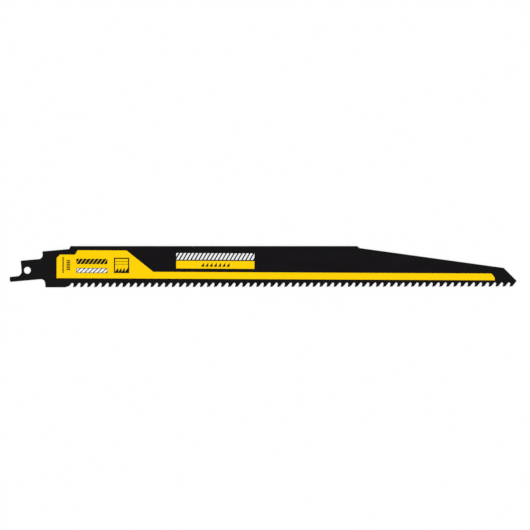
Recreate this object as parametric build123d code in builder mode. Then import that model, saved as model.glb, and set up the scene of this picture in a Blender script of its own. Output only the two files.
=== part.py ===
from build123d import *
import math
import os

# Reciprocating saw blade with welded carbide teeth, in millimetres. The origin is the
# centre of the hole in the tang, on the middle plane of the sheet. +X runs to the nose,
# +Y to the back edge and +Z out of the printed face.

# Sheet
sheet = 1.3
edge_break = 0.12
overall_length = 304.8
back_height = 14.6
tooth_drop = 10.26

# Tang, measured along and across its own length, which is canted about the hole
tang_cant = 5.0
hole_radius = 2.05
tang_above = 6.15
tang_below = 6.05
tang_front = 3.5
tang_round = 0.6
prong_reach = 11.0
prong_height = 3.05
prong_round = 0.8
prong_root_round = 2.9

# Shoulders, heel and the step up to the back edge
shoulder_reach = 9.97
shoulder_round = 2.5
corner_round = 0.35
back_start = 25.95
back_step = 1.78
back_step_angle = 66.0
back_step_round = 0.5

# Nose
taper_length = 96.0
taper_drop = 1.2
taper_drop_angle = 37.0
nose_angle = 45.0
nose_corner_height = 11.74
nose_round = 0.25

# Teeth, each measured from its cutting corner
tooth_pitch = 25.4 / 6
row_start = 27.0
row_rise_angle = 0.08
gullet_depth = 2.62
gullet_radius = 0.72
face_setback = 0.3
back_angle = 50.5
heel_ramp_angle = 18.0

# Carbide tips
seat_height = 1.5
seat_angle = 22.0
hook_angle = 8.0
relief_angle = 13.0
tip_overhang = 0.3
flank_clearance = 5.0
rear_clearance = 3.0
tip_corner = 0.15

# Printed ink
ink = 0.04
print_tilt = 0.29
field_left = 17.6
field_above_gullets = 2.98
field_below_back = 2.47
field_left_chamfer = 2.0
shelf_length = 11.0
shelf_drop = 2.67
shelf_step_run = 1.57
field_length = 41.9
field_slope_angle = 38.2
stripe_height = 4.05
stripe_end_gap = 13.3
stripe_end_run = 2.0
stripe_end_fall = 2.35
bar_start = 71.85
bar_rise = 6.15
bar_length = 47.0
bar_height = 4.66


def canted(along, up):
    """A place given along and across the tang."""
    return Vector(along, up).rotate(Axis.Z, tang_cant)


def crossing(first, first_angle, second, second_angle):
    """Where two lines meet, each given by a point and its angle from +X in degrees."""
    first_way = Vector(1, 0).rotate(Axis.Z, first_angle)
    second_way = Vector(1, 0).rotate(Axis.Z, second_angle)
    along = (second - first).cross(second_way).Z / first_way.cross(second_way).Z
    return first + first_way * along


# One tooth, with its cutting corner at (0, 0). The back slope of the tooth before it and
# its own upright face meet at gullet_corner, which the gullet's round then takes away.
round_reach = gullet_radius / math.tan(math.radians(90 - back_angle) / 2)
gullet_corner = Vector(face_setback, gullet_depth - gullet_radius + round_reach)
next_gullet_corner = gullet_corner + Vector(tooth_pitch, 0)
cutting_corner = Vector(0, 0)
seat_front = Vector(face_setback, seat_height)
seat_rear = crossing(seat_front, -seat_angle, next_gullet_corner, back_angle)
land_end = crossing(cutting_corner, relief_angle, next_gullet_corner, back_angle)
face_top = crossing(cutting_corner, 90 - hook_angle, seat_front, -seat_angle)

# The row is set out from the nose, whose point is one pitch past the last tooth
prong_top = prong_height - tang_below
prong_centre = canted(prong_round - prong_reach, prong_top - prong_round)
nose_x = overall_length + prong_centre.X - prong_round
tooth_count = int((nose_x - row_start) / tooth_pitch)
first_tooth = Vector(nose_x - tooth_pitch * tooth_count, -tooth_drop)
tooth_step = Vector(tooth_pitch, tooth_pitch * math.tan(math.radians(row_rise_angle)))
teeth = [first_tooth + tooth_step * n for n in range(tooth_count)]

# Corners of the outline that follow from its straight edges
tooth_line = Vector(0, -tooth_drop)
nose_tip = crossing(teeth[-1] + land_end, back_angle, Vector(nose_x, 0), 90)
nose_foot = crossing(nose_tip, back_angle, tooth_line, 0)
nose_level = Vector(0, nose_corner_height - tooth_drop)
nose_corner = crossing(nose_tip, -nose_angle, nose_level, 0)
back_end = Vector(nose_x - taper_length, back_height)
taper_level = Vector(0, back_height - taper_drop)
taper_start = crossing(back_end, -taper_drop_angle, taper_level, 0)
step_top = Vector(back_start, back_height)
step_level = Vector(0, back_height - back_step)
step_foot = crossing(step_top, back_step_angle, step_level, 0)
shoulder = canted(shoulder_reach, 0)
shoulder_corner = crossing(step_foot, tang_cant, shoulder, 90 + tang_cant)
heel_corner = crossing(tooth_line, 0, shoulder, 90 + tang_cant)

# The blank's outline, clockwise from the prong's end, as corners and their rounds
blank_outline = [
    (canted(-prong_reach, -tang_below), prong_round),
    (canted(-prong_reach, prong_top), prong_round),
    (canted(-tang_front, prong_top), prong_root_round),
    (canted(-tang_front, tang_above), tang_round),
    (canted(shoulder_reach, tang_above), shoulder_round),
    (shoulder_corner, corner_round),
    (step_foot, back_step_round),
    (step_top, back_step_round),
    (back_end, back_step_round),
    (taper_start, back_step_round),
    (nose_corner, corner_round),
    (nose_tip, nose_round),
    (nose_foot, 0),
    (heel_corner, corner_round),
    (canted(shoulder_reach, -tang_below), shoulder_round),
]

# What the tooth row takes from the blank: a ramp off the heel, then for each tooth the
# gullet in front of it and the seat of its tip. It runs out past the blank below.
clear = Vector(0, -tooth_drop - sheet)
ramp_top = teeth[0] + seat_rear - Vector(tooth_pitch, 0)
row_outline = [
    (crossing(ramp_top, heel_ramp_angle, clear, 0), 0),
    (ramp_top, 0),
]
for tooth in teeth:
    row_outline += [
        (tooth + gullet_corner, gullet_radius),
        (tooth + seat_front, 0),
        (tooth + seat_rear, 0),
    ]
row_outline[-1] = (crossing(teeth[-1] + seat_front, -seat_angle, clear, 0), 0)

# Blade body: one sheet of alloy steel, blanked, punched for the clamp's pin, its rim
# broken all round, and the tooth row then cut along its lower edge
with BuildPart() as blade_body:
    with BuildSketch():
        with BuildLine():
            corners, rounds = zip(*blank_outline)
            FilletPolyline(*corners, radius=rounds, close=True)
        make_face()
    extrude(amount=sheet / 2, both=True)
    chamfer(blade_body.faces().filter_by(Axis.Z).edges(), edge_break)
    with BuildSketch():
        with BuildLine():
            corners, rounds = zip(*row_outline)
            FilletPolyline(*corners, radius=rounds, close=True)
        make_face()
    extrude(amount=sheet, both=True, mode=Mode.SUBTRACT)
    Hole(hole_radius)

# Carbide tips: each stands proud of the sheet on both sides to cut the kerf, and is
# ground back from its cutting edge on the land, the face and both flanks
half_kerf = sheet / 2 + tip_overhang
flank_fall = math.tan(math.radians(flank_clearance))
rear_fall = math.tan(math.radians(rear_clearance))
with BuildPart() as tip:
    with BuildSketch():
        with BuildLine():
            Polyline(cutting_corner, land_end, seat_rear, face_top, close=True)
        make_face()
    extrude(amount=half_kerf, both=True)
    for side in (1, -1):
        flank = Plane(origin=(0, 0, side * half_kerf), z_dir=(rear_fall, flank_fall, side))
        split(bisect_by=flank, keep=Keep.BOTTOM)
    land_edges = tip.faces().sort_by(Axis.Y)[0].edges().sort_by(Axis.Z)
    chamfer([land_edges[0], land_edges[-1]], tip_corner)

with BuildPart() as carbide_tips:
    with Locations(*teeth):
        add(tip.part)

# Yellow print: a field behind the tang, a stripe from it along the teeth and a bar above
# the stripe, screen printed on one face and tilted a little to the blade
field_bottom = gullet_depth + field_above_gullets - tooth_drop
field_height = back_height - field_below_back - field_bottom
shelf_height = field_height - shelf_drop
slope_run = (field_height - stripe_height) / math.tan(math.radians(field_slope_angle))
stripe_end = nose_x - stripe_end_gap - field_left
print_plane = Plane(
    origin=(field_left, field_bottom, sheet / 2),
    x_dir=Vector(1, 0).rotate(Axis.Z, -print_tilt),
    z_dir=(0, 0, 1),
)
with BuildPart() as yellow_print:
    with BuildSketch(print_plane):
        with BuildLine():
            Polyline(
                (0, 0),
                (0, shelf_height - field_left_chamfer),
                (field_left_chamfer, shelf_height),
                (shelf_length, shelf_height),
                (shelf_length + shelf_step_run, field_height),
                (field_length, field_height),
                (field_length + slope_run, stripe_height),
                (stripe_end - stripe_end_run, stripe_height),
                (stripe_end, stripe_height - stripe_end_fall),
                (stripe_end, 0),
                close=True,
            )
        make_face()
        with Locations((bar_start, bar_rise)):
            Rectangle(bar_length, bar_height, align=(Align.MIN, Align.MIN))
    extrude(amount=ink)

os.makedirs("parts", exist_ok=True)
blade_body.part.label = "blade_body"
export_step(blade_body.part, "parts/blade_body.step")
carbide_tips.part.label = "carbide_tips"
export_step(carbide_tips.part, "parts/carbide_tips.step")
yellow_print.part.label = "yellow_print"
export_step(yellow_print.part, "parts/yellow_print.step")
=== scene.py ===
# A reciprocating saw blade with carbide teeth, lying on its plain face. The frame is that of
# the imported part, in metres: +X to the nose, +Y to the back edge and +Z out of the printed
# face. Meshes are drawn in millimetres and brought to metres when they are finished.
import itertools
import math
import random

import bmesh
import bpy
from mathutils import Matrix, Vector


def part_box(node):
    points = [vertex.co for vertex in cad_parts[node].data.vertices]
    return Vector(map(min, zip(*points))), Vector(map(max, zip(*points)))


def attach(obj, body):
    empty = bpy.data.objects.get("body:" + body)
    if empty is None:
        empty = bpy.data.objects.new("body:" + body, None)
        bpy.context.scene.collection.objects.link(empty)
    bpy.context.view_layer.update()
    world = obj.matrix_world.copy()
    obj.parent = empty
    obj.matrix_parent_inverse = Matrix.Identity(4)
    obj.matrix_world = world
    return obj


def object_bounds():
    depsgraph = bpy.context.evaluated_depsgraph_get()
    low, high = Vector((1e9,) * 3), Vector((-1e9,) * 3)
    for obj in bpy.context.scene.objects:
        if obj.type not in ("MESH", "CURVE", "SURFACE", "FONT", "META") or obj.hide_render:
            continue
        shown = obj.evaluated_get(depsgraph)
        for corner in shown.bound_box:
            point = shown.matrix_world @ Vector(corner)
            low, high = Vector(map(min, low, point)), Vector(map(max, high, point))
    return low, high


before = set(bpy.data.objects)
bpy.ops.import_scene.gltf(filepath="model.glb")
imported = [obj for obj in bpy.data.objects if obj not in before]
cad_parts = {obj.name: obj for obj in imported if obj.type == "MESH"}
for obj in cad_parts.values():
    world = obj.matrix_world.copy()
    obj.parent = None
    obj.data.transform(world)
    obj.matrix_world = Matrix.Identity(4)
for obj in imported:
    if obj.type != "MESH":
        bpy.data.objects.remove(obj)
cad_low, cad_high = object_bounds()


# Blade body: one sheet of rolled alloy steel, blanked, with its gullets ground and its rim
# broken. It is coated satin black all over once the tips are welded on, so the rolling
# grain shows faintly through the coat on the faces, and the grinding on the cut edges.
class Signal:
    """A shader socket that sums and products can be written with."""

    def __init__(self, finish, socket):
        self.finish = finish
        self.socket = socket

    def combined(self, operation, first, second):
        return self.finish.node("Math", {"operation": operation}, {0: first, 1: second})

    def __add__(self, other):
        return self.combined("ADD", self, other)

    def __mul__(self, other):
        return self.combined("MULTIPLY", self, other)

    def __rsub__(self, other):
        return self.combined("SUBTRACT", other, self)

    __radd__ = __add__
    __rmul__ = __mul__


class Finish:
    """The shader nodes of one material, or of the world. Slot is the record's name for it; it
    is kept but not used.
    """

    def __init__(self, owner, slot=""):
        owner.use_nodes = True
        self.owner = owner
        self.slot = slot
        self.tree = owner.node_tree
        self.tree.nodes.clear()

    def node(self, kind, settings, sockets, output=0):
        made = self.tree.nodes.new("ShaderNode" + kind)
        for name, value in settings.items():
            setattr(made, name, value)
        for name, value in sockets.items():
            if isinstance(value, Signal):
                self.tree.links.new(value.socket, made.inputs[name])
            else:
                made.inputs[name].default_value = value
        return Signal(self, made.outputs[output]) if made.outputs else None

    def noise(self, size, stretch=(1, 1, 1), detail=2):
        """Noise with grains of this size in metres, drawn out along each axis by stretch."""
        place = self.node("TexCoord", {}, {}, "Object")
        scale = [1 / (size * part) for part in stretch]
        place = self.node("Mapping", {}, {"Vector": place, "Scale": scale})
        return self.node("TexNoise", {}, {"Vector": place, "Scale": 1, "Detail": detail})

    def between(self, share, first, second):
        """A colour on its way from first to second, by the sockets that Mix has for colours."""
        factor, start, end, mixed = 0, 6, 7, 2
        sockets = {factor: share, start: (*first, 1), end: (*second, 1)}
        return self.node("Mix", {"data_type": "RGBA"}, sockets, mixed)

    def skin(self, height, depth, **sockets):
        """A Principled shader with a bump this deep in metres, wired to the output."""
        bump = self.node("Bump", {}, {"Height": height, "Distance": depth})
        named = {name.replace("_", " "): value for name, value in sockets.items()}
        shader = self.node("BsdfPrincipled", {}, {**named, "Normal": bump})
        self.node("OutputMaterial", {}, {"Surface": shader})


mm = 0.001
coat_dark = (0.0036, 0.0028, 0.0036)
coat_light = (0.0056, 0.0044, 0.0056)

coating = Finish(bpy.data.materials.new("satin_coating"), "black_coating")
normal = coating.node("NewGeometry", {}, {}, "Normal")
upright = coating.node("SeparateXYZ", {}, {"Vector": normal}, "Z")
on_face = upright * upright
peel = coating.noise(0.45 * mm)
grain = coating.noise(0.12 * mm, stretch=(40, 1, 1))
grinding = coating.noise(0.07 * mm, stretch=(1, 1, 30))
mottle = coating.noise(6 * mm, stretch=(3, 1, 1), detail=4)
coating.skin(
    height=on_face * (0.7 * peel + 0.3 * grain) + (1 - on_face) * grinding,
    depth=0.012 * mm,
    Base_Color=coating.between(mottle, coat_dark, coat_light),
    Roughness=0.29 + 0.08 * mottle + 0.04 * peel,
    Specular_IOR_Level=0.2,
)


def dress(node, finish):
    """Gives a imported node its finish."""
    for material_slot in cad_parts[node].material_slots:
        material_slot.material = finish.owner


dress("blade_body", coating)

# Carbide tips: 63 little blocks of sintered tungsten carbide, one welded into the seat of
# each tooth, ground on the land, the face and both flanks, and coated dark.
carbide_dark = (0.022, 0.021, 0.024)
carbide_light = (0.034, 0.033, 0.037)

carbide = Finish(bpy.data.materials.new("ground_carbide"), "carbide")
wheel_marks = carbide.noise(0.025 * mm, stretch=(30, 1, 1))
sinter = carbide.noise(0.2 * mm, detail=3)
carbide.skin(
    height=0.8 * wheel_marks + 0.2 * sinter,
    depth=0.0012 * mm,
    Base_Color=carbide.between(sinter, carbide_dark, carbide_light),
    Metallic=1.0,
    Roughness=0.3 + 0.1 * wheel_marks,
)
dress("carbide_tips", carbide)

# Weld flash: each tip is welded down onto its seat, which squeezes a row of low uneven beads
# out of the joint on both sides, in the corner between the sheet and the prouder tip.
inch = 25.4
teeth_per_inch = 6
row_rise_angle = 0.08
seat_front = Vector((0.3, 1.5, 0))
seat_rear = Vector((1.99, 0.82, 0))
sheet_face = 0.65
bead_radius = 0.17
bead_sides = 8
bead_rings = 4
bead_shares = (0.18, 0.4, 0.62, 0.84)
bead_stretch = 1.5
bead_girths = (0.75, 1.15)
bead_seed = 7

tips_low, tips_high = (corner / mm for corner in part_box("carbide_tips"))
tooth_pitch = inch / teeth_per_inch
tooth_count = int((tips_high.x - tips_low.x) / tooth_pitch) + 1
tooth_rise = tooth_pitch * math.tan(math.radians(row_rise_angle))
seat = seat_rear - seat_front
along_seat = Matrix.Rotation(math.atan2(seat.y, seat.x), 4, "Z")
chance = random.Random(bead_seed)


def finished(name, bm, finish):
    """Makes a piece of a mesh drawn in millimetres, and lets it ride on the blade."""
    bmesh.ops.transform(bm, matrix=Matrix.Scale(mm, 4), verts=bm.verts)
    bmesh.ops.recalc_face_normals(bm, faces=bm.faces)
    mesh = bpy.data.meshes.new(name)
    bm.to_mesh(mesh)
    bm.free()
    mesh.materials.append(finish.owner)
    piece = bpy.data.objects.new(name, mesh)
    bpy.context.scene.collection.objects.link(piece)
    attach(piece, "root")
    return piece


flash = bmesh.new()
one_seat = bpy.data.meshes.new("one_seat")
for number in range(tooth_count):
    tooth = Vector((tips_low.x + tooth_pitch * number, tips_low.y + tooth_rise * number, 0))
    beads = bmesh.new()
    for side, share in itertools.product((1, -1), bead_shares):
        middle = tooth + seat_front + seat * share + Vector((0, 0, side * sheet_face))
        girth = chance.uniform(*bead_girths)
        shape = Matrix.Diagonal((bead_stretch, girth, girth, 1))
        bmesh.ops.create_uvsphere(
            beads,
            u_segments=bead_sides,
            v_segments=bead_rings,
            radius=bead_radius,
            matrix=Matrix.Translation(middle) @ along_seat @ shape,
        )
    beads.to_mesh(one_seat)
    beads.free()
    flash.from_mesh(one_seat)
bpy.data.meshes.remove(one_seat)
finished("weld_flash", flash, coating).data.shade_smooth()

# Yellow print: the field behind the tang, the long stripe above the teeth and the bar
# over it, laid down in one pass through a screen whose mesh leaves the ink a little uneven.
yellow = (1.0, 0.645, 0.0)
thin_share = 0.97


def screen_ink(slot, colour):
    """A matt ink, a shade darker where the squeegee left less of it."""
    ink = Finish(bpy.data.materials.new("screen_" + slot), slot)
    mesh_marks = ink.noise(0.22 * mm)
    cover = ink.noise(5 * mm, stretch=(4, 1, 1), detail=3)
    thin = [part * thin_share for part in colour]
    ink.skin(
        height=mesh_marks,
        depth=0.003 * mm,
        Base_Color=ink.between(cover, thin, colour),
        Roughness=0.44 + 0.1 * cover,
        Specular_IOR_Level=0.06,
    )
    return ink


dress("yellow_print", screen_ink("yellow_ink", yellow))

# White print: a band of slanted blocks over the yellow bar, one more pass of ink, square
# with the stripe like all the print.
white = (0.88, 0.88, 0.88)
print_tilt = 0.29
ink_thickness = 0.04
ink_rim = 0.006
tolerance = 0.001
bar_start = 71.85
bar_length = 47.0
bar_top = 10.81
band_gap = 0.62
band_height = 4.0
band_blocks = 20
band_share = 0.6

print_low, print_high = (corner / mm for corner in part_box("yellow_print"))
tang_end_rise = (print_high.x - print_low.x) * math.tan(math.radians(print_tilt))
print_corner = Matrix.Translation((print_low.x, print_low.y + tang_end_rise, 0))
print_place = print_corner @ Matrix.Rotation(math.radians(-print_tilt), 4, "Z")


def rectangle(left, low, width, height):
    right = left + width
    high = low + height
    return [(left, low), (right, low), (right, high), (left, high)]


def repeated(outline, count, right=0, up=0):
    """Like outlines, each a step further on than the one before."""
    return [[(x + right * n, y + up * n) for x, y in outline] for n in range(count)]


def outlined(*outlines):
    """A flat mesh inside closed outlines. One outline within another is a hole in it."""
    flat = bmesh.new()
    for outline in outlines:
        corners = [flat.verts.new((x, y, 0)) for x, y in outline]
        for first, second in zip(corners, corners[1:] + corners[:1]):
            flat.edges.new((first, second))
    bmesh.ops.triangle_fill(flat, use_beauty=False, use_dissolve=True, edges=flat.edges[:])
    return flat


def slanted_blocks(left, low, width, height, count, share):
    """A band of blocks that each lean over by their pitch, its two ends cut square."""
    pitch = width / count
    block_width = pitch * share
    corners = [(left - pitch, low), (left - pitch + block_width, low)]
    corners += [(left + block_width, low + height), (left, low + height)]
    band = outlined(*repeated(corners, count + 1, right=pitch))
    for end, way in ((left, -1), (left + width, 1)):
        flat = band.verts[:] + band.edges[:] + band.faces[:]
        across = {"plane_co": (end, 0, 0), "plane_no": (way, 0, 0)}
        bmesh.ops.bisect_plane(band, geom=flat, dist=tolerance, clear_outer=True, **across)
    return band


def printed(name, flat, ink, base, thickness, corner):
    """Thickens a flat mesh into ink on the blade, with soft corners and a soft rim."""
    grown = bmesh.ops.extrude_face_region(flat, geom=flat.faces[:], use_keep_orig=True)
    lifted = [item for item in grown["geom"] if isinstance(item, bmesh.types.BMVert)]
    bmesh.ops.translate(flat, vec=(0, 0, thickness), verts=lifted)
    walls = [edge for edge in flat.edges if edge.verts[0].co.z != edge.verts[1].co.z]
    bevelled = {"affect": "EDGES", "profile": 0.5, "material": -1}
    bmesh.ops.bevel(flat, geom=walls, offset=corner, segments=3, **bevelled)
    bmesh.ops.recalc_face_normals(flat, faces=flat.faces)
    upper_rim = [
        edge
        for edge in flat.edges
        if min(vert.co.z for vert in edge.verts) > thickness / 2
        and min(face.normal.z for face in edge.link_faces) < 0.5
    ]
    bmesh.ops.bevel(flat, geom=upper_rim, offset=ink_rim, segments=2, **bevelled)
    bmesh.ops.dissolve_degenerate(flat, dist=tolerance, edges=flat.edges)
    bmesh.ops.triangulate(flat, faces=flat.faces)
    place = print_place @ Matrix.Translation((0, 0, base))
    bmesh.ops.transform(flat, matrix=place, verts=flat.verts)
    finished(name, flat, ink)


white_ink = screen_ink("white_ink", white)
band_low = bar_top + band_gap
band = slanted_blocks(bar_start, band_low, bar_length, band_height, band_blocks, band_share)
printed("white_band", band, white_ink, sheet_face, ink_thickness, corner=0.12)

# Black and white strips in the yellow field: a strip of slanted black blocks, and under it
# a black strip that carries slanted white ones. Each overprints the layer below.
black = (0.0085, 0.0075, 0.0085)
overprint = 0.02
strips_left = 11.8
strips_width = 18.7
upper_low = 8.5
upper_height = 3.2
upper_blocks = 8
upper_share = 0.8
lower_low = 3.15
lower_height = 3.0
lower_border = 0.28
lower_blocks = 7
lower_share = 0.7

black_ink = screen_ink("black_ink", black)
on_yellow = sheet_face + ink_thickness
upper = slanted_blocks(
    strips_left, upper_low, strips_width, upper_height, upper_blocks, upper_share
)
printed("black_strip", upper, black_ink, on_yellow, overprint, corner=0.12)

lower = outlined(rectangle(strips_left, lower_low, strips_width, lower_height))
printed("white_strip_backing", lower, black_ink, on_yellow, overprint, corner=0.12)
filling = slanted_blocks(
    strips_left + lower_border,
    lower_low + lower_border,
    strips_width - 2 * lower_border,
    lower_height - 2 * lower_border,
    lower_blocks,
    lower_share,
)
printed("white_strip", filling, white_ink, on_yellow + overprint, overprint, corner=0.06)

# Cutting sign: a square frame in the same black ink. Saw teeth bite up into its window from
# below, and two lines of wood grain run across it.
sign_left = 34.4
sign_low = 3.2
sign_side = 9.2
sign_border = 0.7
sign_teeth = 4
sign_tooth_height = 2.7
grain_thickness = 0.28
grain_lows = (4.5, 6.1)

window_left = sign_left + sign_border
window_low = sign_low + sign_border
window_side = sign_side - 2 * sign_border
sign_pitch = window_side / sign_teeth
root = (window_left, window_low)
point = (window_left + sign_pitch, window_low + sign_tooth_height)
window_teeth = repeated([root, point], sign_teeth, right=sign_pitch)
window_top = rectangle(*root, window_side, window_side)[2:]
square = rectangle(sign_left, sign_low, sign_side, sign_side)
sign = outlined(square, [*itertools.chain(*window_teeth), *window_top])
printed("cutting_sign", sign, black_ink, on_yellow, overprint, corner=0.05)

grain_lines = [
    rectangle(window_left, window_low + low, window_side, grain_thickness)
    for low in grain_lows
]
grain_print = outlined(*grain_lines)
printed("cutting_sign_grain", grain_print, black_ink, on_yellow, overprint, corner=0.02)

# Small black marks, of that ink too: a ladder of six rungs and a dashed line at the tang end
# of the field, and a row of little teeth along the middle of the yellow bar.
ladder_place = (5.9, 4.9)
rung_size = (2.2, 0.66)
rung_pitch = 1.05
rungs = 6
dash_place = (3.4, 3.2)
dash_size = (1.0, 0.84)
dash_pitch = 1.22
dashes = 8
small_tooth_place = (86.7, 7.3)
small_tooth_size = (1.9, 2.5)
small_tooth_pitch = 2.55
small_tooth_count = 7

ladder = outlined(*repeated(rectangle(*ladder_place, *rung_size), rungs, up=rung_pitch))
printed("ladder", ladder, black_ink, on_yellow, overprint, corner=0.08)
line = outlined(*repeated(rectangle(*dash_place, *dash_size), dashes, up=dash_pitch))
printed("dashed_line", line, black_ink, on_yellow, overprint, corner=0.08)
small_tooth = rectangle(*small_tooth_place, *small_tooth_size)[:3]
small_teeth = outlined(*repeated(small_tooth, small_tooth_count, right=small_tooth_pitch))
printed("small_teeth", small_teeth, black_ink, on_yellow, overprint, corner=0.06)

# Floor: a plain white sweep under the blade. To the eye most of it glows white, and the
# rest takes the blade's shadow.
floor_radius = 8.0
floor_colour = (0.97, 0.965, 0.97, 1)
glowing_share = 0.9

sweep = Finish(bpy.data.materials.new("white_sweep"))
seen = sum(
    sweep.node("LightPath", {}, {}, ray)
    for ray in ("Is Camera Ray", "Is Glossy Ray", "Is Transmission Ray")
)
matt = sweep.node("BsdfDiffuse", {}, {"Color": floor_colour})
shine = sweep.node("Emission", {}, {"Color": (1, 1, 1, 1), "Strength": 1})
cover = sweep.node("MixShader", {}, {0: glowing_share * seen, 1: matt, 2: shine})
sweep.node("OutputMaterial", {}, {"Surface": cover})

disc = bmesh.new()
bmesh.ops.create_circle(disc, cap_ends=True, segments=96, radius=floor_radius)
bmesh.ops.translate(disc, vec=(0, 0, cad_low.z), verts=disc.verts)
floor_mesh = bpy.data.meshes.new("floor")
disc.to_mesh(floor_mesh)
disc.free()
floor_mesh.materials.append(sweep.owner)
floor = bpy.data.objects.new("floor", floor_mesh)
bpy.context.scene.collection.objects.link(floor)

# Studio: a low white wall all round that soon fades to a dim ceiling, and three soft lamps
# half way up, so that the flat black face mirrors no lamp to the camera over it.
wall_glow = 1.0
wall_top = 0.08
ceiling_glow = 0.07
ceiling_start = 0.22
lamp_spread = 24
lamps = {"key": (155, 46, 1.66), "fill": (-78, 46, 1.34), "rim": (35, 46, 1.06)}

studio = Finish(bpy.data.worlds.new("studio"))
outwards = studio.node("TexCoord", {}, {}, "Generated")
height = studio.node("SeparateXYZ", {}, {"Vector": outwards}, "Z")
heights = {"Value": height, "From Min": wall_top, "From Max": ceiling_start}
glow = studio.node("MapRange", {}, {**heights, "To Min": wall_glow, "To Max": ceiling_glow})
background = studio.node("Background", {}, {"Color": (1, 1, 1, 1), "Strength": glow})
studio.node("OutputWorld", {}, {"Surface": background})
bpy.context.scene.world = studio.owner

for name, (bearing, climb, strength) in lamps.items():
    lamp = bpy.data.lights.new(name, "SUN")
    lamp.energy = strength
    lamp.angle = math.radians(lamp_spread)
    holder = bpy.data.objects.new(name, lamp)
    turned = Matrix.Rotation(math.radians(bearing), 4, "Z")
    tipped = Matrix.Rotation(math.radians(90 - climb), 4, "Y")
    holder.matrix_world = turned @ tipped
    bpy.context.scene.collection.objects.link(holder)

# Camera: straight over the printed face with a long lens, square to the blade. One pixel of
# the picture covers as much of that face as one of the photograph does.
picture_pixels = 530
pixel_width = 0.601 * mm
picture_centre = Vector((142.85, 3.2, sheet_face)) * mm
lens = 200

camera = bpy.data.cameras.new("camera")
camera.lens = lens
distance = picture_pixels * pixel_width * lens / camera.sensor_width
viewer = bpy.data.objects.new("camera", camera)
viewer.location = picture_centre + Vector((0, 0, distance))
bpy.context.scene.collection.objects.link(viewer)
bpy.context.scene.camera = viewer
bpy.context.scene.view_settings.view_transform = "Standard"
